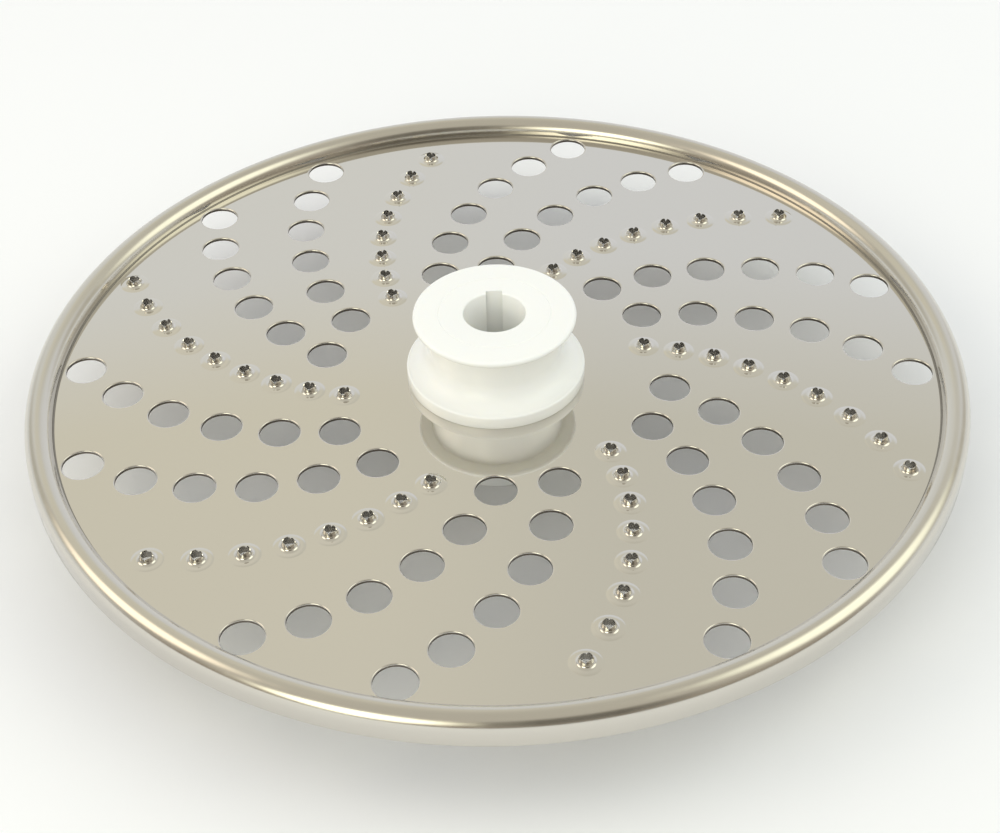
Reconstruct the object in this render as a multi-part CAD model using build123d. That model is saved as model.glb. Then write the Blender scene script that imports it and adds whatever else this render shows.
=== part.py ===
"""Fine grating disc of a food processor.

One stamped stainless sheet carries a rolled rim, curved double rows of punched holes and curved rows of
burst teeth. A white hub is moulded on to it through the middle hole: a finger spool above the sheet, a boss
below it and a keyed bore for the drive shaft. Millimetres, +Z up, origin in the middle of the boss's foot.
"""

import os
from math import acos, asin, atan2, cos, degrees, radians, sin, sqrt, tan

from build123d import *

# Stamped sheet
DISC_D = 175.5           # over the rolled rim
SHEET_T = 0.7            # thickness of the stainless sheet
PLATE_TOP_Z = 18.5       # height of the sheet's upper face above the hub's foot
RIM_W = 5.0              # width of the rolled bead
RIM_RISE = 3.0           # bead's crest above the sheet's upper face
RIM_DROP = 2.55          # rim's lower edge below the sheet's upper face
RIM_BEND_R = 0.3         # bend between the flat and the bead, on the upper face

# Curved rows: each is an arc of one circle, turned in equal steps about the axis
SECTIONS = 6             # each has two rows of holes and one row of teeth
ROWS_PER_SECTION = 3
ROW_ARC_R = 58.5
ROW_ARC_OFFSET = 54.4    # distance of an arc's centre from the axis
FIRST_ROW_ANGLE = 69.0   # direction of the first arc's centre

# Punched holes
HOLE_D = 7.5
HOLE_PITCH = 11.0        # along the row
HOLES_PER_ROW = 6
HOLE_SIDES = 12          # flats of a hole's wall
HOLE_RIM_GAP = 0.5       # between the outermost hole and the rim's bend

# Burst teeth, staggered from row to row
TOOTH_STEP = 6.2         # radial step between teeth
TOOTH_STAGGER = 3        # rows that share one step, each starting a part of it further in
TOOTH_RIM_GAP = 3.8      # from the outermost tooth's middle to the rim's bend
TOOTH_HUB_GAP = 11.0     # least distance from a tooth's middle to the hub's flange
TOOTH_BASE_W = 3.2       # across the flats of the crown at the sheet
TOOTH_LEAN = 13.0        # lean of a petal towards the tooth's middle, degrees
TOOTH_H = 1.4            # tips above the sheet
TOOTH_WALL = 0.3         # thickness of a petal
TOOTH_SLIT_Z = 0.5       # bottom of a torn corner above the sheet
TOOTH_ANGLE = 35.0       # direction of the first petal, the same all over the sheet

# Moulded hub
HUB_RISE = 14.0          # top of the spool above the sheet
BOSS_D = 25.0            # below the sheet
WAIST_D = 24.8           # between the spool's flanges
NECK_D = 20.0            # through the sheet
TOP_FLANGE_D = 30.3
TOP_FLANGE_T = 1.2
TOP_EDGE_R = 0.55        # rounding of the top flange's upper edge
LOWER_FLANGE_D = 33.5
LOWER_FLANGE_T = 2.6     # at its edge
WAIST_FILLET_R = 4.0     # sweep from the waist on to the lower flange
FLANGE_LAND = 0.3        # least flat left between that sweep and the flange's edge
BORE_D = 11.5
KEYWAY_W = 3.05
KEYWAY_DEPTH = 0.7
NECK_CLEARANCE = 0.05    # round the neck in the sheet's middle hole

DISC_R = DISC_D / 2
BEAD_R = RIM_W / 2
BEAD_X = DISC_R - BEAD_R
BEAD_Z = RIM_RISE - BEAD_R
FLAT_R = BEAD_X - sqrt((BEAD_R + RIM_BEND_R) ** 2 - (RIM_BEND_R - BEAD_Z) ** 2)
CUT_PAST = 1.0           # how far a cutting tool runs past the faces it cuts

# Even steps that stand for the round stretches of the sections
BEND_STEPS = 2
BEAD_STEPS = 6
CHANNEL_STEPS = 3        # the bead's hollow side
SWEEP_STEPS = 3
EDGE_STEPS = 2


def row_angle(row):
    """Direction of a row's arc centre."""
    return radians(FIRST_ROW_ANGLE + row * 360 / (SECTIONS * ROWS_PER_SECTION))


def on_row(row, radius):
    """The point of a row at a distance from the axis."""
    swing = acos((radius**2 + ROW_ARC_OFFSET**2 - ROW_ARC_R**2) / (2 * radius * ROW_ARC_OFFSET))
    angle = row_angle(row) + swing
    return radius * cos(angle), radius * sin(angle)


def hole_centres():
    """Holes at an even pitch along the first two rows of each section, from the rim inwards."""
    outer_r = FLAT_R - HOLE_RIM_GAP - HOLE_D / 2
    step = 2 * asin(HOLE_PITCH / 2 / ROW_ARC_R)
    centres = []
    for row in range(SECTIONS * ROWS_PER_SECTION):
        if row % ROWS_PER_SECTION == ROWS_PER_SECTION - 1:
            continue
        arc_x = ROW_ARC_OFFSET * cos(row_angle(row))
        arc_y = ROW_ARC_OFFSET * sin(row_angle(row))
        x, y = on_row(row, outer_r)
        first = atan2(y - arc_y, x - arc_x)
        for hole in range(HOLES_PER_ROW):
            angle = first + hole * step
            centres.append((arc_x + ROW_ARC_R * cos(angle), arc_y + ROW_ARC_R * sin(angle)))
    return centres


def tooth_centres():
    """Teeth at an even radial step along the last row of each section, staggered from row to row."""
    inner_r = LOWER_FLANGE_D / 2 + TOOTH_HUB_GAP
    centres = []
    for section in range(SECTIONS):
        row = section * ROWS_PER_SECTION + ROWS_PER_SECTION - 1
        radius = FLAT_R - TOOTH_RIM_GAP - section % TOOTH_STAGGER * TOOTH_STEP / TOOTH_STAGGER
        while radius > inner_r:
            centres.append(on_row(row, radius))
            radius -= TOOTH_STEP
    return centres


def arc_points(centre, radius, start, end, steps):
    """Points of an arc in a half section, as even steps from one angle to the other."""
    turns = [radians(start + (end - start) * step / steps) for step in range(steps + 1)]
    return [(centre[0] + radius * cos(turn), centre[1] + radius * sin(turn)) for turn in turns]


def turned_solid(points):
    """The solid that a closed half section sweeps out about the axis."""
    return revolve(make_face(Plane.XZ * Polyline(*points, close=True)), Axis.Z)


def rolled_sheet():
    """The blank, of one thickness all along: flat, bend, rolled bead and outer wall, open underneath."""
    slope = degrees(atan2(BEAD_Z - RIM_BEND_R, BEAD_X - FLAT_R))

    def rolled_side(depth, bead_steps):
        bend = arc_points((FLAT_R, RIM_BEND_R), RIM_BEND_R + depth, -90, slope, BEND_STEPS)
        bead = arc_points((BEAD_X, BEAD_Z), BEAD_R - depth, 180 + slope, 0, bead_steps)
        return bend[:-1] + bead + [(DISC_R - depth, -RIM_DROP)]

    hole_r = NECK_D / 2 + NECK_CLEARANCE
    upper = rolled_side(0, BEAD_STEPS)
    lower = rolled_side(SHEET_T, CHANNEL_STEPS)
    return turned_solid([(hole_r, 0), *upper, *reversed(lower), (hole_r, -SHEET_T)])


def tapered_square(width, bottom, top):
    """A square bar that leans as the petals do, its width given at the sheet's upper face."""
    low = width - 2 * bottom * tan(radians(TOOTH_LEAN))
    return Pos(0, 0, bottom) * extrude(Rectangle(low, low), amount=top - bottom, taper=TOOTH_LEAN)


def tooth_crown():
    """The four petals of a burst tooth: a tapered square whose corners are torn open, leaving four points."""
    tip_face = TOOTH_BASE_W / 2 - TOOTH_H * tan(radians(TOOTH_LEAN))
    spread = tip_face / sqrt(2) / (TOOTH_H - TOOTH_SLIT_Z)
    bar_top = TOOTH_H + SHEET_T
    gap = spread * (bar_top - TOOTH_SLIT_Z)
    tear = Polyline((0, TOOTH_SLIT_Z), (gap, bar_top), (-gap, bar_top), close=True)
    wedge = extrude(make_face(Plane.XZ * tear), amount=TOOTH_BASE_W, both=True)
    crown = tapered_square(TOOTH_BASE_W, -SHEET_T / 2, bar_top)
    for corner in (45, 135):  # each tear runs across two opposite corners
        crown -= Rot(0, 0, corner) * wedge
    return crown


def grating_plate():
    """The stamped sheet with its rim, punched holes and burst teeth."""
    punch = RegularPolygon(HOLE_D / 2, HOLE_SIDES)
    hole = Pos(0, 0, -SHEET_T - CUT_PAST) * extrude(punch, amount=SHEET_T + 2 * CUT_PAST)
    crown = tooth_crown()
    opening = tapered_square(TOOTH_BASE_W - 2 * TOOTH_WALL, -SHEET_T - CUT_PAST, TOOTH_H)
    turned = [Pos(x, y) * Rot(0, 0, TOOTH_ANGLE) for x, y in tooth_centres()]
    sheet = rolled_sheet()
    sheet -= [Pos(x, y) * hole for x, y in hole_centres()]
    sheet += [place * crown for place in turned]
    sheet -= [place * opening for place in turned]
    return Pos(0, 0, PLATE_TOP_Z) * sheet


def hub_body():
    """The hub solid to the axis: foot, boss, groove round the sheet, then the finger spool."""
    boss_r, neck_r, waist_r = BOSS_D / 2, NECK_D / 2, WAIST_D / 2
    lower_r, top_r = LOWER_FLANGE_D / 2, TOP_FLANGE_D / 2
    sheet_under_z = PLATE_TOP_Z - SHEET_T
    lower_top_z = PLATE_TOP_Z + LOWER_FLANGE_T
    top_z = PLATE_TOP_Z + HUB_RISE
    top_under_z = top_z - TOP_FLANGE_T
    sweep_r = min(WAIST_FILLET_R, lower_r - waist_r - FLANGE_LAND, top_under_z - lower_top_z - FLANGE_LAND)
    sweep_centre = (waist_r + sweep_r, lower_top_z + sweep_r)
    edge_centre = (top_r - TOP_EDGE_R, top_z - TOP_EDGE_R)
    return turned_solid([
        (0, 0),
        (boss_r, 0),
        (boss_r, sheet_under_z),
        (neck_r, sheet_under_z),
        (neck_r, PLATE_TOP_Z),
        (lower_r, PLATE_TOP_Z),
        (lower_r, lower_top_z),
        *arc_points(sweep_centre, sweep_r, 270, 180, SWEEP_STEPS),
        (waist_r, top_under_z),
        (top_r, top_under_z),
        *arc_points(edge_centre, TOP_EDGE_R, 0, 90, EDGE_STEPS),
        (0, top_z),
    ])


def drive_hub():
    """The moulded hub, with its bore and the keyway along it right through."""
    cut_h = PLATE_TOP_Z + HUB_RISE + 2 * CUT_PAST
    keyway_r = BORE_D / 2 + KEYWAY_DEPTH
    start = Pos(0, 0, -CUT_PAST)
    bore = start * extrude(Circle(BORE_D / 2), amount=cut_h)
    keyway = start * extrude(Pos(0, keyway_r / 2) * Rectangle(KEYWAY_W, keyway_r), amount=cut_h)
    return hub_body() - [bore, keyway]


os.makedirs("parts", exist_ok=True)
export_step(grating_plate(), "parts/grating_plate.step")
export_step(drive_hub(), "parts/drive_hub.step")
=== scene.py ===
# %% [markdown]
# # A fine grating disc of a food processor
#
# The disc is one stamped sheet of polished stainless steel with a white hub moulded through its middle.
# The CAD model holds the sizes and the structure. This lesson gives both pieces their finished surfaces: a
# rolled rim that is truly round, holes with the soft edge that a punch leaves, teeth that burst out of the
# sheet, and a hub with moulded roundings. Everything is in metres, in the CAD model's own frame.

# %% Load the frame
from collections import Counter
from math import acos, asin, atan2, cos, degrees, pi, radians, sin, sqrt
from random import Random

import bpy
from mathutils import Matrix, Vector


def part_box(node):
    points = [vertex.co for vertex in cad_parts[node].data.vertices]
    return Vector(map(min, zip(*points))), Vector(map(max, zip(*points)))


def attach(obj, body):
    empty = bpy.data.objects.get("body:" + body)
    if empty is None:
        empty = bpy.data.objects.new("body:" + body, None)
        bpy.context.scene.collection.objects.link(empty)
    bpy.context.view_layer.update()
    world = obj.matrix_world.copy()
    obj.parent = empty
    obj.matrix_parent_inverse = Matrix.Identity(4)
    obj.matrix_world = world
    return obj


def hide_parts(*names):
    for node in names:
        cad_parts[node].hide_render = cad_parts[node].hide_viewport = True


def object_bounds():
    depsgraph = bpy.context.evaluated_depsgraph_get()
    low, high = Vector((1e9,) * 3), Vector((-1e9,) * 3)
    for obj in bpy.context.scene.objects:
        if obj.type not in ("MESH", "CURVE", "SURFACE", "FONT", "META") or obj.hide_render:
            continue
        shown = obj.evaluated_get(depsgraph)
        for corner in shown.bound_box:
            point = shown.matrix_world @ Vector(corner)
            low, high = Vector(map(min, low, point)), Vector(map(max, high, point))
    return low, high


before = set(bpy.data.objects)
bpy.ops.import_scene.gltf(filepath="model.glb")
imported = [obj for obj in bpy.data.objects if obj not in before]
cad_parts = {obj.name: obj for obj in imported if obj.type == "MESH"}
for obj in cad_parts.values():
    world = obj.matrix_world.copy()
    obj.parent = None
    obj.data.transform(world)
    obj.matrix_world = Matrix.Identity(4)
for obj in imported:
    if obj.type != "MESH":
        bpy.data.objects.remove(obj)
cad_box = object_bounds()
MM = 0.001

sheet_low, sheet_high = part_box("grating_plate")
hub_low, hub_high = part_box("drive_hub")
print("sheet", sheet_low, sheet_high, "hub", hub_low, hub_high)

# %% [markdown]
# ## Sizes of the sheet
#
# The outer sizes come from the frame, so the finished sheet stands exactly where the CAD sheet stands. They
# could be typed in again, but then a change in the CAD model would leave this one behind. The others repeat
# the sizes of the stamping tool. Each later step defines the sizes that it alone needs.

# %% Sizes of the sheet
DISC_R = sheet_high.x
RIM_RISE = 3.0 * MM  # the bead's crest above the flat
SHEET_Z = sheet_high.z - RIM_RISE
SHEET_T = 0.7 * MM
BEAD_R = 2.5 * MM
BEND_R = 0.3 * MM
RIM_DROP = 2.55 * MM  # the wall's lower edge below the flat
BEAD_X = DISC_R - BEAD_R
BEAD_Z = RIM_RISE - BEAD_R
FLAT_R = BEAD_X - sqrt((BEAD_R + BEND_R) ** 2 - (BEND_R - BEAD_Z) ** 2)
print("flat to radius", FLAT_R, "at height", SHEET_Z)

# %% [markdown]
# ## Materials
#
# One small function adds a node, sets it up and links it. Colours are written as sRGB hex values, as a
# colour picker shows them, and turned to the linear values that Blender calculates with. A pattern's scale
# comes from the size of its features in millimetres.


# %% Material helpers
def linear(hex_colour):
    """An sRGB hex colour as linear red, green, blue and alpha."""
    parts = [int(hex_colour[at:at + 2], 16) / 255 for at in (1, 3, 5)]
    return [c / 12.92 if c <= 0.04045 else ((c + 0.055) / 1.055) ** 2.4 for c in parts] + [1.0]


def add(tree, kind, inputs=None, **settings):
    """Adds a node with its settings. An input takes a value, or a link from another node's output."""
    made = tree.nodes.new(kind)
    for name, value in settings.items():
        setattr(made, name, value)
    for name, value in (inputs or {}).items():
        if isinstance(value, bpy.types.NodeSocket):
            tree.links.new(value, made.inputs[name])
        else:
            made.inputs[name].default_value = value
    return made


def new_material(name):
    """An empty node material and its output node."""
    material = bpy.data.materials.new(name)
    material.use_nodes = True
    material.node_tree.nodes.clear()
    return material, material.node_tree, add(material.node_tree, "ShaderNodeOutputMaterial")


def per_metre(size_mm):
    """The scale of a texture whose features are that many millimetres wide."""
    return 1000 / size_mm


print("middle grey in linear values:", linear("#808080"))

# %% [markdown]
# ### Polished stainless steel
#
# Bright rolled sheet, polished after stamping. It is close to a mirror, a little warm, and never quite flat:
# the punching leaves slow waves that bend its reflections, and polishing leaves a faint haze in patches. A
# bare metal shader would be too perfect a mirror, so one noise bends the surface and another dulls it.

# %% Stainless steel
WAVE_MM = 34
WAVE_HEIGHT = 0.04 * MM
HAZE_MM = 9

steel, tree, output = new_material("polished_stainless_steel")
place = add(tree, "ShaderNodeTexCoord").outputs["Object"]
waves = add(tree, "ShaderNodeTexNoise", {"Vector": place, "Scale": per_metre(WAVE_MM), "Detail": 1.0})
haze = add(tree, "ShaderNodeTexNoise", {"Vector": place, "Scale": per_metre(HAZE_MM), "Detail": 3.0})
dull = add(tree, "ShaderNodeMapRange", {"Value": haze.outputs["Fac"], "From Min": 0.3, "From Max": 0.7,
                                        "To Min": 0.035, "To Max": 0.06})
bump = add(tree, "ShaderNodeBump", {"Height": waves.outputs["Fac"], "Strength": 1.0, "Distance": WAVE_HEIGHT})
shader = add(tree, "ShaderNodeBsdfPrincipled", {
    "Base Color": linear("#DAD7D2"),
    "Metallic": 1.0,
    "Roughness": dull.outputs["Result"],
    "Normal": bump.outputs["Normal"],
})
tree.links.new(shader.outputs["BSDF"], output.inputs["Surface"])
print(steel.name, len(tree.nodes), "nodes")

# %% [markdown]
# ### Rolled steel
#
# The rollers that form the bead work the surface again, so the rim shines more softly than the flat. It could
# share the flat's material with a mask, but a finish of its own on its own band of faces is easier to follow.
# The rollers' marks are finer than a pixel, so the grain is drawn as coarse as it needs to show.

# %% Rolled steel
GRAIN_MM = 3

rolled_steel, tree, output = new_material("rolled_stainless_steel")
place = add(tree, "ShaderNodeTexCoord").outputs["Object"]
grain = add(tree, "ShaderNodeTexNoise", {"Vector": place, "Scale": per_metre(GRAIN_MM), "Detail": 2.0})
soft = add(tree, "ShaderNodeMapRange", {"Value": grain.outputs["Fac"], "From Min": 0.3, "From Max": 0.7,
                                        "To Min": 0.16, "To Max": 0.22})
shader = add(tree, "ShaderNodeBsdfPrincipled", {
    "Base Color": linear("#D3CFC7"),
    "Metallic": 1.0,
    "Roughness": soft.outputs["Result"],
})
tree.links.new(shader.outputs["BSDF"], output.inputs["Surface"])
print(rolled_steel.name, len(tree.nodes), "nodes")

# %% [markdown]
# ### Torn steel with painted shade
#
# No polishing wheel reaches the inside of a tooth or the tight bend at the rim, so they stay grey and dull.
# Their grey is partly the torn metal's own and partly painted shade, the shade that falls deep inside a
# tooth and in the tight bend. They are small and show no pattern, so one colour and one roughness are enough.

# %% Torn steel with painted shade
torn_shaded_steel, tree, output = new_material("torn_steel_and_painted_shade")
shader = add(tree, "ShaderNodeBsdfPrincipled", {
    "Base Color": linear("#8E8A83"),
    "Metallic": 1.0,
    "Roughness": 0.4,
})
tree.links.new(shader.outputs["BSDF"], output.inputs["Surface"])
print(torn_shaded_steel.name, len(tree.nodes), "nodes")

# %% [markdown]
# ### Cut steel with painted shade
#
# The wall of a punched hole is sheared by the punch and never polished, so it is dull. Its dark, a little
# brown grey is partly the cut's own and partly painted shade, which draws a fine dark line round the far
# side of each hole. It could share the torn steel, but that is lighter and would lose the line.

# %% Cut steel with painted shade
cut_and_shaded_steel, tree, output = new_material("cut_and_shaded_steel")
shader = add(tree, "ShaderNodeBsdfPrincipled", {
    "Base Color": linear("#6E675E"),
    "Metallic": 1.0,
    "Roughness": 0.35,
})
tree.links.new(shader.outputs["BSDF"], output.inputs["Surface"])
print(cut_and_shaded_steel.name, len(tree.nodes), "nodes")

# %% [markdown]
# ### White moulded plastic
#
# A dense white plastic, moulded in a polished tool: a warm white with a soft satin gloss. Light goes in a
# little way before it comes out again, so a small share of subsurface keeps the edges soft. The ripple that
# moulding leaves is very fine, and is drawn as coarse as it needs to show.

# %% White plastic
RIPPLE_MM = 1.2
RIPPLE_HEIGHT = 0.004 * MM
LIGHT_DEPTH = 1.0 * MM

plastic, tree, output = new_material("white_moulded_plastic")
place = add(tree, "ShaderNodeTexCoord").outputs["Object"]
ripple = add(tree, "ShaderNodeTexNoise", {"Vector": place, "Scale": per_metre(RIPPLE_MM), "Detail": 2.0})
satin = add(tree, "ShaderNodeMapRange", {"Value": ripple.outputs["Fac"], "To Min": 0.2, "To Max": 0.28})
bump = add(tree, "ShaderNodeBump", {"Height": ripple.outputs["Fac"], "Strength": 1.0,
                                    "Distance": RIPPLE_HEIGHT})
shader = add(tree, "ShaderNodeBsdfPrincipled", {
    "Base Color": linear("#F6F6F1"),
    "Roughness": satin.outputs["Result"],
    "IOR": 1.5,
    "Subsurface Weight": 0.15,
    "Subsurface Radius": (1.0, 0.9, 0.7),
    "Subsurface Scale": LIGHT_DEPTH,
    "Normal": bump.outputs["Normal"],
})
tree.links.new(shader.outputs["BSDF"], output.inputs["Surface"])
print(plastic.name, len(tree.nodes), "nodes")

# %% [markdown]
# ## Turning a profile
#
# Most surfaces here are round about an axis. By hand one would draw half of the section as a chain of edges
# and spin it, so the helper does the same: it merges a small plane to one vertex, extrudes that vertex from
# point to point, and spins the chain. A profile is a list of (radius, height) points, and its round stretches
# come from a formula.

# %% Lathe helpers
WELD = 0.002 * MM  # vertices closer than this become one


def only(piece):
    """Selects one object alone and makes it active."""
    bpy.ops.object.select_all(action="DESELECT")
    piece.select_set(True)
    bpy.context.view_layer.objects.active = piece


def arc(centre, radius, start, end, steps):
    """Points of a profile's arc, in even steps from one angle to the other, in degrees."""
    turns = [radians(start + (end - start) * step / steps) for step in range(steps + 1)]
    return [(centre[0] + radius * cos(turn), centre[1] + radius * sin(turn)) for turn in turns]


def turned(name, profile, steps, start=0.0, sweep=2 * pi):
    """Spins a chain of (radius, height) points clockwise about the Z axis, all the way or over a sweep."""
    points = [Vector((r * cos(start), r * sin(start), z)) for r, z in profile]
    bpy.ops.object.select_all(action="DESELECT")
    bpy.ops.mesh.primitive_plane_add(size=MM, location=(0, 0, 0))
    piece = bpy.context.object
    piece.name = name
    bpy.ops.object.mode_set(mode="EDIT")
    bpy.ops.mesh.select_mode(type="VERT")
    bpy.ops.mesh.select_all(action="SELECT")
    bpy.ops.mesh.merge(type="CENTER")
    bpy.ops.transform.translate(value=points[0])
    for here, there in zip(points, points[1:]):
        bpy.ops.mesh.extrude_vertices_move(TRANSFORM_OT_translate={"value": there - here})
    bpy.ops.mesh.select_all(action="SELECT")
    bpy.ops.mesh.spin(steps=steps, angle=sweep, center=(0, 0, 0), axis=(0, 0, 1))
    bpy.ops.mesh.select_all(action="SELECT")
    bpy.ops.mesh.remove_doubles(threshold=WELD)
    bpy.ops.object.mode_set(mode="OBJECT")
    return piece


print("a quarter circle in two steps:", arc((0, 0), 1, 0, 90, 2))

# %% [markdown]
# ## Joining and copying
#
# The sheet is one skin, but its features are easier to model one at a time. These helpers give a feature its
# finish, weld its bands together, and copy it to its places. Each copy gets a mesh of its own, because the
# copies are joined to the sheet in the end.


# %% Joining and copying helpers
def coated(piece, material):
    """Gives a piece its one material."""
    piece.data.materials.clear()
    piece.data.materials.append(material)
    return piece


def joined(pieces):
    """Joins objects into the first one."""
    only(pieces[0])
    for piece in pieces:
        piece.select_set(True)
    bpy.ops.object.join()
    return pieces[0]


def merged(pieces):
    """Joins objects and welds the edges that they share."""
    whole = joined(pieces)
    bpy.ops.object.mode_set(mode="EDIT")
    bpy.ops.mesh.select_all(action="SELECT")
    bpy.ops.mesh.remove_doubles(threshold=WELD)
    bpy.ops.object.mode_set(mode="OBJECT")
    return whole


def banded(name, bands, steps):
    """Spins a profile that is split into bands, each of which has its own finish."""
    return merged([coated(turned(name, profile, steps), material) for profile, material in bands])


def copies(model, places, turn=0.0, spread=0.0, seed=0):
    """Copies of a model, each with its own mesh, at the places, turned alike or with a small spread."""
    draw = Random(seed)
    made = []
    for place in places:
        only(model)
        bpy.ops.object.duplicate()
        copy = bpy.context.object
        copy.location = place
        copy.rotation_euler.z = turn + spread * draw.uniform(-1, 1)
        made.append(copy)
    return made


# %% [markdown]
# ## The rolled rim
#
# The sheet bends up, rolls over into a bead and ends in a straight wall, and it keeps its thickness all the
# way, so the bead is a hollow channel underneath. A bent grid would only come near its radii, and a spun
# profile meets them exactly. A narrow flat strip stays on the inner edge of this piece. It keeps the shading
# of the big flat true, because there the flat meets nothing but flat.

# %% Rim
GUARD = 0.1 * MM  # width of the flat strip round each feature of the sheet
LIP_R = 0.2 * MM  # rounding of the wall's lower edge
LIP_STEPS = 3
RIM_STEPS = 288
BEND_STEPS, BEAD_STEPS = 6, 28
UNDER_BEND_STEPS, CHANNEL_STEPS = 4, 14
slope = degrees(atan2(BEAD_Z - BEND_R, BEAD_X - FLAT_R))


def rolled(depth, bend_steps, bead_steps):
    """One face of the rolled sheet from the flat to the wall, at a depth below the upper face."""
    bend = arc((FLAT_R, BEND_R), BEND_R + depth, -90, slope, bend_steps)
    bead = arc((BEAD_X, BEAD_Z), BEAD_R - depth, 180 + slope, 0, bead_steps)
    points = [(FLAT_R - GUARD, -depth)] + bend[:-1] + bead
    return [(r, SHEET_Z + z) for r, z in points]


upper = rolled(0, BEND_STEPS, BEAD_STEPS)
channel = rolled(SHEET_T, UNDER_BEND_STEPS, CHANNEL_STEPS)[::-1]
edge_z = SHEET_Z - RIM_DROP + LIP_R
lip_out = arc((DISC_R - LIP_R, edge_z), LIP_R, 0, -90, LIP_STEPS)
lip_in = arc((DISC_R - SHEET_T + LIP_R, edge_z), LIP_R, -90, -180, LIP_STEPS)
rim = banded("rim", [
    (upper[:2], steel),  # the flat strip
    # the tight bend, in torn steel whose dark grey is partly painted shade in the crease
    (upper[1:BEND_STEPS + 1], torn_shaded_steel),  # the tight bend
    (upper[BEND_STEPS:] + lip_out + lip_in + channel, rolled_steel),
], RIM_STEPS)
print("rim", len(rim.data.polygons), "faces")

# %% [markdown]
# ## Curved rows
#
# Holes and teeth stand in curved rows, six sections of them, so that food meets one tooth after another as
# the disc turns. They could be placed one by one. But all rows lie on arcs of one circle, turned about the
# axis in equal steps, so a few numbers place more than a hundred features.

# %% Curved rows
SECTIONS = 6
ROWS_PER_SECTION = 3
HOLE_ROWS = 2  # the first rows of a section, before its row of teeth
ROWS = SECTIONS * ROWS_PER_SECTION
ROW_ARC_R = 58.5 * MM
ROW_ARC_OFFSET = 54.4 * MM  # of an arc's centre from the axis
FIRST_ROW_ANGLE = radians(69)


def row_angle(row):
    """The direction of a row's arc centre."""
    return FIRST_ROW_ANGLE + row * 2 * pi / ROWS


def on_row(row, radius):
    """The point of a row's arc at a distance from the axis."""
    swing = acos((radius**2 + ROW_ARC_OFFSET**2 - ROW_ARC_R**2) / (2 * radius * ROW_ARC_OFFSET))
    angle = row_angle(row) + swing
    return Vector((radius * cos(angle), radius * sin(angle), SHEET_Z))


print(ROWS, "rows, the first through", on_row(0, FLAT_R))

# %% [markdown]
# ## A punched hole
#
# A punch pulls the sheet's upper edge down a little before it cuts, so the edge is soft above and crisp
# below, and the cut wall stays dull. Seventy-two booleans would leave untidy shading round each hole. Instead
# one lip is spun in three bands and copied to every place. Its flat strips lie in the sheet's two faces.

# %% Places of the holes
HOLE_R = 3.75 * MM
HOLE_PITCH = 11 * MM
HOLES_PER_ROW = 6
HOLE_RIM_GAP = 0.5 * MM


def hole_row(row):
    """Holes at an even pitch along a row's arc, from the rim inwards."""
    centre = ROW_ARC_OFFSET * Vector((cos(row_angle(row)), sin(row_angle(row)), 0))
    arm = on_row(row, FLAT_R - HOLE_RIM_GAP - HOLE_R) - centre
    step = 2 * asin(HOLE_PITCH / 2 / ROW_ARC_R)
    return [centre + Matrix.Rotation(hole * step, 3, "Z") @ arm for hole in range(HOLES_PER_ROW)]


hole_rows = [row for row in range(ROWS) if row % ROWS_PER_SECTION < HOLE_ROWS]
hole_places = [place for row in hole_rows for place in hole_row(row)]
print(len(hole_places), "holes")

# %% Hole lip
ROLL = 0.22 * MM  # radius of the soft upper edge
ROLL_STEPS = 5
BURR = 0.05 * MM  # bevel of the lower edge
HOLE_STEPS = 40

lip = banded("hole_lip", [
    ([(HOLE_R + ROLL + GUARD, 0)] + arc((HOLE_R + ROLL, -ROLL), ROLL, 90, 180, ROLL_STEPS), steel),
    # the cut wall, whose dark colour is partly painted shade
    ([(HOLE_R, -ROLL), (HOLE_R, BURR - SHEET_T), (HOLE_R + BURR, -SHEET_T)], cut_and_shaded_steel),
    ([(HOLE_R + BURR, -SHEET_T), (HOLE_R + BURR + GUARD, -SHEET_T)], steel),
], HOLE_STEPS)
lips = copies(lip, hole_places)
bpy.data.objects.remove(lip)
print(len(lips), "lips of", len(lips[0].data.polygons), "faces")

# %% [markdown]
# ## A burst tooth
#
# A pointed punch lifts the sheet into a small swell and then tears it open from below, which leaves a crown
# of four petals. It could be sculpted whole, but one quarter is enough to model: an outer and an inner skin
# are spun over a quarter turn, their upper edges are extruded and narrowed to a petal, and the two skins are
# bridged along the tear. Edges are picked in code, by their height and because only one face holds them.

# %% Edge picking
CLOSE = 0.01 * MM  # heights closer than this count as the same


def select_edges(piece, wanted):
    """Selects a mesh's open edges whose two ends pass a test, then enters edit mode."""
    only(piece)
    bpy.ops.object.mode_set(mode="EDIT")
    bpy.ops.mesh.select_mode(type="EDGE")
    bpy.ops.mesh.select_all(action="DESELECT")
    bpy.ops.object.mode_set(mode="OBJECT")
    mesh = piece.data
    faces_on = Counter(loop.edge_index for loop in mesh.loops)
    for edge in mesh.edges:
        ends = [mesh.vertices[index].co for index in edge.vertices]
        edge.select = faces_on[edge.index] == 1 and all(wanted(end) for end in ends)
    bpy.ops.object.mode_set(mode="EDIT")


# %% Sizes of a tooth
SWELL_R = 2.9 * MM
SWELL_H = 0.09 * MM
CROWN_R = 1.28 * MM
SLIT_Z = 0.5 * MM  # bottom of a tear above the sheet
SKIN = 0.22 * MM
MOUTH_R = 1.6 * MM
MOUTH_ROUND = 0.5 * MM
MOUTH_STEPS = 4
FLARE_STEPS = 14
QUARTER_STEPS = 6
STEP_POWER, FLARE_POWER = 4, 7  # how soon the low step ends, and how late the flare turns steep
# The steps of a petal: its rise, how far its outer and inner skin lean in, and the share of width left
RISE, OUTER, INNER, WIDTH = range(4)
PETAL_STEPS = [
    (0.35 * MM, 0.05 * MM, 0.02 * MM, 0.92),
    (0.30 * MM, 0.07 * MM, 0.03 * MM, 0.82),
    (0.20 * MM, 0.08 * MM, 0.03 * MM, 0.58),
]


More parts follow.
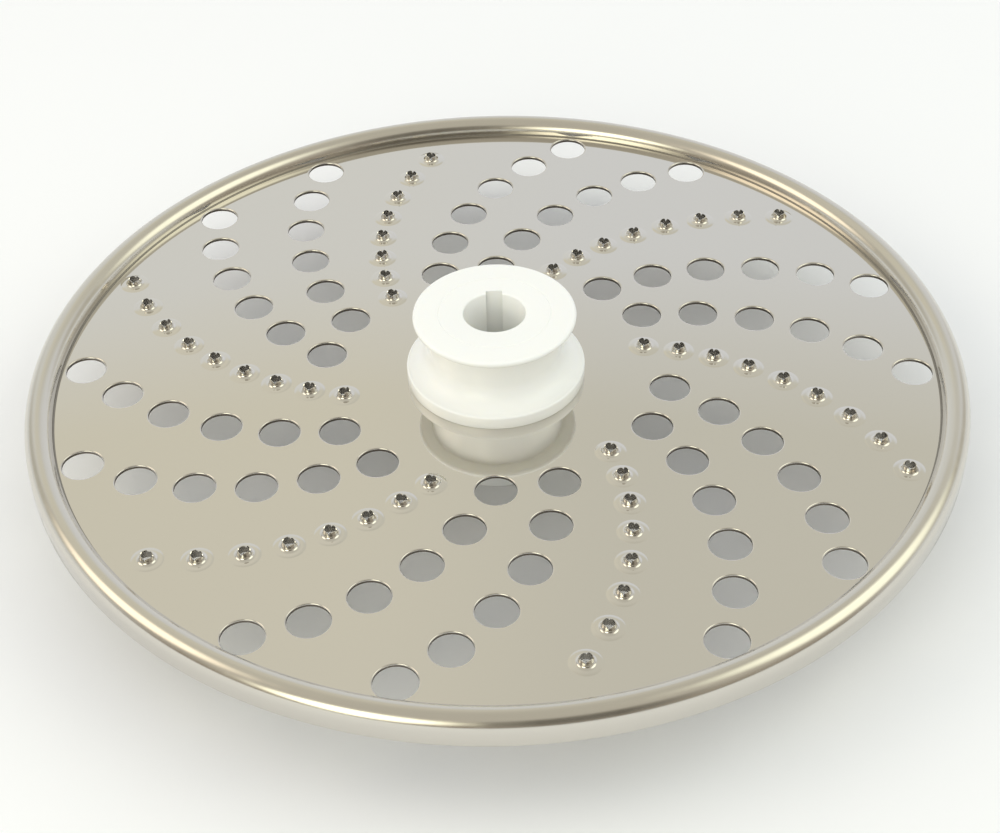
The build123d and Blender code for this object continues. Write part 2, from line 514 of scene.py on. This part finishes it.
def flare(share):
    """A point of the outer skin: a low step, a flat swell, then a flare that turns steep at the crown."""
    rise = SWELL_H * (1 - (1 - share) ** STEP_POWER) + (SLIT_Z - SWELL_H) * share**FLARE_POWER
    return SWELL_R - (SWELL_R - CROWN_R) * share, rise


print("flare from", flare(0), "to", flare(1))


# %% One quarter of a tooth
def at_tear(end):
    """Whether a point lies at the height of the tear or above it."""
    return end.z > SLIT_Z - CLOSE


def petal(skin, radius, lean_column, stretch):
    """Extrudes a skin's upper edge into a petal that narrows towards its tip."""
    select_edges(skin, at_tear)
    front = radius
    for step in PETAL_STEPS:
        lean, share = step[lean_column], step[WIDTH]
        front -= lean
        bpy.ops.mesh.extrude_edges_move(TRANSFORM_OT_translate={"value": (-lean, 0, stretch * step[RISE])})
        bpy.ops.transform.resize(value=(share**2, share, 1), center_override=(front, 0, 0))
    bpy.ops.object.mode_set(mode="OBJECT")


def quarter(stretch):
    """A quarter of a tooth, its petal along the X axis and its open sides half a right angle to each side."""
    outer = [(SWELL_R + GUARD, 0)] + [flare(step / FLARE_STEPS) for step in range(FLARE_STEPS + 1)]
    mouth = arc((MOUTH_R, MOUTH_ROUND - SHEET_T), MOUTH_ROUND, -90, -180, MOUTH_STEPS)
    inner = [(MOUTH_R + GUARD, -SHEET_T)] + mouth + [(CROWN_R - SKIN, SLIT_Z)]
    outer_skin = coated(turned("quarter", outer, QUARTER_STEPS, pi / 4, pi / 2), steel)
    # the inner skin, in torn steel whose dark grey is partly painted shade inside the tooth
    inner_skin = coated(turned("quarter_inside", inner, QUARTER_STEPS, pi / 4, pi / 2), torn_shaded_steel)
    petal(outer_skin, CROWN_R, OUTER, stretch)
    petal(inner_skin, CROWN_R - SKIN, INNER, stretch)
    whole = joined([outer_skin, inner_skin])
    select_edges(whole, at_tear)
    bpy.ops.mesh.bridge_edge_loops()
    bpy.ops.object.mode_set(mode="OBJECT")
    return whole


PETAL_LENGTHS = (0.85, 1.0, 1.12)
quarters = [quarter(stretch) for stretch in PETAL_LENGTHS]
print("quarter of a tooth:", [len(piece.data.polygons) for piece in quarters], "faces")

# %% [markdown]
# ## Rows of teeth
#
# On the real sheet no two petals tear alike. Fifty different teeth would be much work for little, so three
# teeth are put together from long and short quarters and take turns along the rows, each turned a little its
# own way. The rows start a third of a step apart, so that a tooth scrapes where the one before it left off.

# %% Places of the teeth
TOOTH_STEP = 6.2 * MM
TOOTH_STAGGER = 3
TOOTH_RIM_GAP = 3.8 * MM
TOOTH_LEAST_R = 27.75 * MM


def tooth_row(section):
    """Teeth at an even radial step, each row of three starting a third of a step further in."""
    radius = FLAT_R - TOOTH_RIM_GAP - section % TOOTH_STAGGER * TOOTH_STEP / TOOTH_STAGGER
    places = []
    while radius > TOOTH_LEAST_R:
        places.append(on_row(section * ROWS_PER_SECTION + HOLE_ROWS, radius))
        radius -= TOOTH_STEP
    return places


tooth_places = [place for section in range(SECTIONS) for place in tooth_row(section)]
print(len(tooth_places), "teeth")

# %% Teeth
TOOTH_ANGLE = radians(35)
TOOTH_SPREAD = radians(7)
KINDS = len(quarters)


def tooth(variant):
    """Four quarters about the Z axis, long and short ones mixed."""
    parts = []
    for turn in range(4):
        parts += copies(quarters[(variant + turn * turn) % KINDS], [Vector()], turn * pi / 2)
    whole = merged(parts)
    bpy.ops.object.transform_apply(location=True, rotation=True, scale=True)
    return whole


tooth_models = [tooth(variant) for variant in range(KINDS)]
teeth = []
for variant, model in enumerate(tooth_models):
    teeth += copies(model, tooth_places[variant::KINDS], TOOTH_ANGLE, TOOTH_SPREAD, seed=variant)
for model in quarters + tooth_models:
    bpy.data.objects.remove(model)
print(len(teeth), "teeth of", len(teeth[0].data.polygons), "faces")

# %% [markdown]
# ## The sheet
#
# The rim, the lips, the teeth and the edge of the middle hole now stand free in their places. Joined, they
# leave one open loop of edges each on the sheet's upper face and one on its lower face. Filling between those
# loops makes the two flats, and the sheet is one closed skin with no doubled faces.


# %% Piece check
def report(piece):
    """Prints what a finished piece is made of, and how many of its edges are open."""
    faces_on = Counter(loop.edge_index for loop in piece.data.loops)
    triangles = sum(len(face.vertices) - 2 for face in piece.data.polygons)
    not_closed = sum(1 for edge in piece.data.edges if faces_on[edge.index] != 2)
    print(piece.name, triangles, "triangles,", not_closed, "edges not closed")


# %% Plate
NECK_R = 10.05 * MM
NECK_STEPS = 64
SMOOTH_ANGLE = radians(35)

neck_profile = [
    (NECK_R + GUARD, SHEET_Z),
    (NECK_R, SHEET_Z),
    (NECK_R, SHEET_Z - SHEET_T),
    (NECK_R + GUARD, SHEET_Z - SHEET_T),
]
neck_edge = coated(turned("neck_edge", neck_profile, NECK_STEPS), steel)
plate = joined([rim, neck_edge] + lips + teeth)
plate.name = "grating_sheet"
for level in (SHEET_Z, SHEET_Z - SHEET_T):
    select_edges(plate, lambda end: abs(end.z - level) < CLOSE)
    bpy.ops.mesh.fill(use_beauty=True)
    bpy.ops.mesh.select_all(action="SELECT")
    bpy.ops.mesh.normals_make_consistent(inside=False)
    bpy.ops.object.mode_set(mode="OBJECT")
bpy.ops.object.shade_smooth_by_angle(angle=SMOOTH_ANGLE)
report(plate)

# %% [markdown]
# ## The moulded hub
#
# The hub is one moulding that grips the sheet: a spool above for two fingers, a neck through the middle hole
# and a boss below that stands on the shaft's shoulder. Cylinders could be put together and bevelled, but then
# each rounding would depend on the ones before. Turned from one profile, each keeps the radius of the mould.

# %% Sizes of the hub
TOP_Z = hub_high.z
TOP_R = 15.15 * MM
TOP_T = 1.2 * MM
TOP_ROUND = 0.55 * MM
RING_R = 10.45 * MM  # a shallow ring in the top
RING_DEPTH = 0.06 * MM
WAIST_R = 12.4 * MM
CORNER_R = 0.3 * MM
SWEEP_R = 4 * MM
LOWER_R = hub_high.x
LOWER_T = 2.6 * MM
EDGE_ROUND = 0.4 * MM
FOOT_ROUND = 0.1 * MM
NECK_CORE_R = 10 * MM
BOSS_R = 12.5 * MM
BORE_R = 5.75 * MM
BORE_EDGE = 0.35 * MM
top_under = TOP_Z - TOP_T
lower_top = SHEET_Z + LOWER_T
print("spool from", SHEET_Z, "to", TOP_Z)

# %% Profile of the hub
EDGE_STEPS, TOP_STEPS, CORNER_STEPS, SWEEP_STEPS, FOOT_STEPS = 4, 6, 5, 14, 2

hub_profile = arc((BORE_R + BORE_EDGE, TOP_Z - BORE_EDGE), BORE_EDGE, 180, 90, EDGE_STEPS)
hub_profile += [
    (RING_R - 2 * RING_DEPTH, TOP_Z),
    (RING_R - RING_DEPTH, TOP_Z - RING_DEPTH),
    (RING_R, TOP_Z - RING_DEPTH),
    (RING_R + RING_DEPTH, TOP_Z),
]
hub_profile += arc((TOP_R - TOP_ROUND, TOP_Z - TOP_ROUND), TOP_ROUND, 90, 0, TOP_STEPS)
hub_profile += arc((TOP_R - TOP_ROUND, top_under + TOP_ROUND), TOP_ROUND, 0, -90, TOP_STEPS)
hub_profile += arc((WAIST_R + CORNER_R, top_under - CORNER_R), CORNER_R, 90, 180, CORNER_STEPS)
hub_profile += arc((WAIST_R + SWEEP_R, lower_top + SWEEP_R), SWEEP_R, 180, 270, SWEEP_STEPS)
hub_profile += arc((LOWER_R - EDGE_ROUND, lower_top - EDGE_ROUND), EDGE_ROUND, 90, 0, EDGE_STEPS)
hub_profile += arc((LOWER_R - FOOT_ROUND, SHEET_Z + FOOT_ROUND), FOOT_ROUND, 0, -90, FOOT_STEPS)
hub_profile += [
    (NECK_CORE_R, SHEET_Z),
    (NECK_CORE_R, SHEET_Z - SHEET_T),
    (BOSS_R, SHEET_Z - SHEET_T),
]
hub_profile += arc((BOSS_R - EDGE_ROUND, EDGE_ROUND), EDGE_ROUND, 0, -90, EDGE_STEPS)
hub_profile += arc((BORE_R + BORE_EDGE, BORE_EDGE), BORE_EDGE, -90, -180, EDGE_STEPS)
hub_profile += [hub_profile[0]]
print("hub profile of", len(hub_profile), "points")

# %% Hub
HUB_STEPS = 144

hub = coated(turned("finger_hub", hub_profile, HUB_STEPS), plastic)
only(hub)
bpy.ops.object.mode_set(mode="EDIT")
bpy.ops.mesh.select_all(action="SELECT")
bpy.ops.mesh.normals_make_consistent(inside=False)
bpy.ops.object.mode_set(mode="OBJECT")
report(hub)

# %% [markdown]
# ### The keyway
#
# A key on the drive shaft turns the disc, so the bore has one keyway along its whole length. In the mould it
# is a bar on the core pin. Here a bar is taken away from the hub in the same place with a boolean, because it
# is the one form of the hub that isn't round.

# %% Keyway
KEYWAY_W = 3.05 * MM
KEYWAY_DEPTH = 0.7 * MM
KEYWAY_R = BORE_R + KEYWAY_DEPTH

bpy.ops.object.select_all(action="DESELECT")
bpy.ops.mesh.primitive_cube_add(size=1, location=(0, KEYWAY_R / 2, TOP_Z / 2))
bar = bpy.context.object
bar.scale = (KEYWAY_W, KEYWAY_R, 2 * TOP_Z)
bpy.ops.object.transform_apply(location=True, rotation=True, scale=True)
only(hub)
cut = hub.modifiers.new("keyway", "BOOLEAN")
cut.operation = "DIFFERENCE"
cut.solver = "EXACT"
cut.object = bar
bpy.ops.object.modifier_apply(modifier="keyway")
bpy.data.objects.remove(bar)
bpy.ops.object.shade_smooth_by_angle(angle=SMOOTH_ANGLE)
report(hub)

# %% [markdown]
# ## The table
#
# The disc stands on plain white paper. A wide plane is enough for it, so wide that its edge stays out of the
# picture. It lies a hair below the hub's foot, so that no two faces share a place.

# %% Floor
FLOOR_SIZE = 12.0
FLOOR_GAP = 0.02 * MM

bpy.ops.object.select_all(action="DESELECT")
bpy.ops.mesh.primitive_plane_add(size=FLOOR_SIZE, location=(0, 0, cad_box[0].z - FLOOR_GAP))
floor = bpy.context.object
floor.name = "table_top"
paper, tree, output = new_material("white_paper")
shader = add(tree, "ShaderNodeBsdfPrincipled", {
    "Base Color": linear("#F7F7F6"),
    "Roughness": 0.9,
    "Specular IOR Level": 0.2,
})
tree.links.new(shader.outputs["BSDF"], output.inputs["Surface"])
floor.data.materials.append(paper)
print(floor.name, paper.name)

# %% [markdown]
# ## The room
#
# A polished sheet shows its surroundings more than itself, so they are painted with care: a white paper
# sweep behind, a warm room above it that begins lower at the sides, and a dimmer room in front with one dark
# spot in it. A picture of a real room could be wrapped round the scene. Colours over the height of a
# direction do it with a few numbers and no picture file.

# %% World
world = bpy.data.worlds.new("studio")
bpy.context.scene.world = world
world.use_nodes = True
tree = world.node_tree
tree.nodes.clear()
way = add(tree, "ShaderNodeTexCoord").outputs["Generated"]
parts = add(tree, "ShaderNodeSeparateXYZ", {"Vector": way})


def height_at(elevation):
    """Where an elevation in degrees lies on a ramp over the whole world."""
    return (sin(radians(elevation)) + 1) / 2


def wall(stops):
    """One side of the room, from straight down to straight up: a colour for each elevation in degrees."""
    share = add(tree, "ShaderNodeMapRange", {"Value": parts.outputs["Z"], "From Min": -1.0})
    made = add(tree, "ShaderNodeValToRGB", {"Fac": share.outputs["Result"]})
    spots = made.color_ramp.elements
    while len(spots) < len(stops):
        spots.new(1.0)
    for spot, (elevation, colour) in zip(spots, stops):
        spot.position = height_at(elevation)
        spot.color = linear(colour)
    return made.outputs["Color"]


print(world.name, "with its horizon at", height_at(0))

# %% Walls of the room
left_behind = wall([(0, "#F6F8F6"), (20, "#F0F2F0"), (29, "#EDEEEA"), (36, "#ECEDE9"), (40, "#E8E4D2"),
                    (52, "#E7E3D3"), (64, "#D9D5C6"), (90, "#D0CCBE")])
right_behind = wall([(0, "#F6F8F8"), (20, "#F0F2F5"), (29, "#EDEFF0"), (36, "#EAECEC"), (41, "#DDDBCE"),
                     (52, "#DDDACC"), (64, "#D3D0C2"), (90, "#D0CCBE")])
aside = wall([(0, "#F6F8F6"), (8, "#EEF0EE"), (17, "#CBC8BC"), (30, "#C5C1B4"), (60, "#CCC8BB"),
              (90, "#D0CCBE")])
ahead = wall([(0, "#A39A8B"), (10, "#ACA394"), (20, "#C0B9AA"), (32, "#CDC7B9"), (50, "#D0CBBD"),
              (90, "#D0CCBE")])
print("walls of", len(tree.nodes), "nodes")

# %% [markdown]
# ### Walls into one room
#
# Each wall could be a plane of its own, but planes would also light the disc and show their edges in the
# steel. Here soft steps over a direction's X and Y lead from wall to wall. On Blender's Mix node the colours
# are inputs 6 and 7 and output 2, once it is set to mix colours.

# %% Room
DIM_SPOT = (0.23, -0.85, 0.47)  # a direction to the front, a little to the right
DIM_WIDTH = radians(30)
DIM_CORE = DIM_WIDTH / 5
LEFT_TO_RIGHT = {"From Min": -0.1, "From Max": 0.08}
BACK_TO_SIDE = {"From Min": 0.45, "From Max": 0.75}
FRONT_TO_BACK = {"From Min": -0.35, "From Max": 0.15}

rightwards = add(tree, "ShaderNodeMapRange", {"Value": parts.outputs["X"], **LEFT_TO_RIGHT},
                 interpolation_type="SMOOTHSTEP").outputs["Result"]
behind = add(tree, "ShaderNodeMix", {"Factor": rightwards, 6: left_behind, 7: right_behind},
             data_type="RGBA").outputs[2]
away = add(tree, "ShaderNodeMath", {0: parts.outputs["X"]}, operation="ABSOLUTE").outputs[0]
sideways = add(tree, "ShaderNodeMapRange", {"Value": away, **BACK_TO_SIDE},
               interpolation_type="SMOOTHSTEP").outputs["Result"]
behind = add(tree, "ShaderNodeMix", {"Factor": sideways, 6: behind, 7: aside}, data_type="RGBA").outputs[2]
backwards = add(tree, "ShaderNodeMapRange", {"Value": parts.outputs["Y"], **FRONT_TO_BACK},
                interpolation_type="SMOOTHSTEP").outputs["Result"]
room = add(tree, "ShaderNodeMix", {"Factor": backwards, 6: ahead, 7: behind}, data_type="RGBA").outputs[2]
near = add(tree, "ShaderNodeVectorMath", {0: way, 1: DIM_SPOT}, operation="DOT_PRODUCT").outputs["Value"]
dim = add(tree, "ShaderNodeMapRange", {"Value": near, "From Min": cos(DIM_WIDTH), "From Max": cos(DIM_CORE)},
          interpolation_type="SMOOTHSTEP").outputs["Result"]
room = add(tree, "ShaderNodeMix", {"Factor": dim, 6: room, 7: linear("#7A756A")}, data_type="RGBA").outputs[2]
print("room of", len(tree.nodes), "nodes")

# %% [markdown]
# ### What is seen and what lights
#
# The camera, gloss and glass see the room. The light that falls on the pieces is a plain even glow instead, a
# little stronger from the left. One background could do both, but then each change to a wall would change the
# light as well. Light Path tells the two kinds of rays apart.

# %% Glow
GLOW_LEFT, GLOW_RIGHT = 0.90, 0.79

sight = add(tree, "ShaderNodeBackground", {"Color": room, "Strength": 1.0})
fall = add(tree, "ShaderNodeMapRange", {"Value": parts.outputs["X"], "From Min": -1.0,
                                        "To Min": GLOW_LEFT, "To Max": GLOW_RIGHT})
glow = add(tree, "ShaderNodeBackground", {"Color": linear("#F8FBFF"), "Strength": fall.outputs["Result"]})
ray = add(tree, "ShaderNodeLightPath")
seen = add(tree, "ShaderNodeMath", {0: ray.outputs["Is Camera Ray"], 1: ray.outputs["Is Glossy Ray"]},
           operation="MAXIMUM")
seen = add(tree, "ShaderNodeMath", {0: seen.outputs[0], 1: ray.outputs["Is Transmission Ray"]},
           operation="MAXIMUM")
mixed = add(tree, "ShaderNodeMixShader", {0: seen.outputs[0], 1: glow.outputs[0], 2: sight.outputs[0]})
add(tree, "ShaderNodeOutputWorld", {"Surface": mixed.outputs[0]})
print(world.name, len(tree.nodes), "nodes")

# %% [markdown]
# ## Lamps
#
# Three soft lamps stand left, right and in front. A plain area lamp would show in the rim as a disc with a
# hard edge. A lamp behind cloth fades towards its edge, so each lamp's strength falls off with the distance
# from its middle, which nodes on the lamp read from its own surface.

# %% Lamps
LAMP_DISTANCE = 0.9
LAMP_EDGE, LAMP_CORE = 0.5, 0.2  # where the fade ends and begins, as shares of the lamp's width
LAMP_MIDDLE = (0.5, 0.5, 0)
sheet_middle = Vector((0, 0, SHEET_Z))
# Each lamp: its bearing and height in degrees, its width in metres, its power in watts and its tint
LAMPS = {
    "left_lamp": (-88, 38, 0.80, 2.4, "#FFEFD4"),
    "front_lamp": (-150, 24, 0.78, 3.5, "#FFFDE2"),
    "right_lamp": (88, 43, 1.06, 3.0, "#FCFFE8"),
}

for name, (bearing, elevation, width, power, tint) in LAMPS.items():
    lamp = bpy.data.lights.new(name, "AREA")
    lamp.shape = "DISK"
    lamp.size = width
    lamp.energy = power
    lamp.use_nodes = True
    tree = lamp.node_tree
    tree.nodes.clear()
    spot = add(tree, "ShaderNodeNewGeometry").outputs["Parametric"]
    off = add(tree, "ShaderNodeVectorMath", {0: spot, 1: LAMP_MIDDLE}, operation="DISTANCE").outputs["Value"]
    fade = add(tree, "ShaderNodeMapRange", {"Value": off, "From Min": LAMP_EDGE, "From Max": LAMP_CORE},
               interpolation_type="SMOOTHSTEP")
    shine = add(tree, "ShaderNodeEmission", {"Color": linear(tint), "Strength": fade.outputs["Result"]})
    add(tree, "ShaderNodeOutputLight", {"Surface": shine.outputs["Emission"]})
    level, height = cos(radians(elevation)), sin(radians(elevation))
    direction = Vector((level * sin(radians(bearing)), level * cos(radians(bearing)), height))
    stand = bpy.data.objects.new(name, lamp)
    stand.location = sheet_middle + LAMP_DISTANCE * direction
    stand.rotation_euler = (-direction).to_track_quat("-Z", "Y").to_euler()
    bpy.context.scene.collection.objects.link(stand)
    print(name, "at", stand.location)

# %% [markdown]
# ## Camera
#
# The camera looks down on the disc from the front, as the photograph does. Its place, tilt and roll were
# found by laying the disc's own circles over the picture. They could be set as angles, but three axes written
# out as vectors show what each number does.

# %% Camera
LOOK_DOWN = radians(40.973)
ROLL_ANGLE = radians(1.585)
CAMERA_AT = Vector((0.50, -265.2, 218.8)) * MM
FOCAL_PX = 1816.7  # focal length, in pixels of a picture of this width
IMAGE_W = 1000
SENSOR_W = 36
NEAREST = 0.01

flat_up = Vector((0, sin(LOOK_DOWN), cos(LOOK_DOWN)))
right = cos(ROLL_ANGLE) * Vector((1, 0, 0)) - sin(ROLL_ANGLE) * flat_up
up = sin(ROLL_ANGLE) * Vector((1, 0, 0)) + cos(ROLL_ANGLE) * flat_up
back = Vector((0, -cos(LOOK_DOWN), sin(LOOK_DOWN)))
axes = Matrix((right, up, back)).transposed().to_4x4()
lens = bpy.data.cameras.new("camera")
lens.sensor_width = SENSOR_W
lens.lens = SENSOR_W * FOCAL_PX / IMAGE_W
lens.clip_start = NEAREST
camera = bpy.data.objects.new("camera", lens)
camera.matrix_world = Matrix.Translation(sheet_middle + CAMERA_AT) @ axes
bpy.context.scene.collection.objects.link(camera)
bpy.context.scene.camera = camera
bpy.context.scene.view_settings.view_transform = "Standard"
print("camera with a lens of", lens.lens, "mm")

# %% [markdown]
# ## Hand over
#
# Each entry holds a finished piece, the CAD node that it stands for and the name of its material slot.
# Each piece rides on the only body, and its CAD node is hidden.

# %% Finish
finished = [(plate, "grating_plate", "stainless_sheet"), (hub, "drive_hub", "hub_plastic")]
for piece, node_name, slot in finished:
    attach(piece, "root")
    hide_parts(node_name)
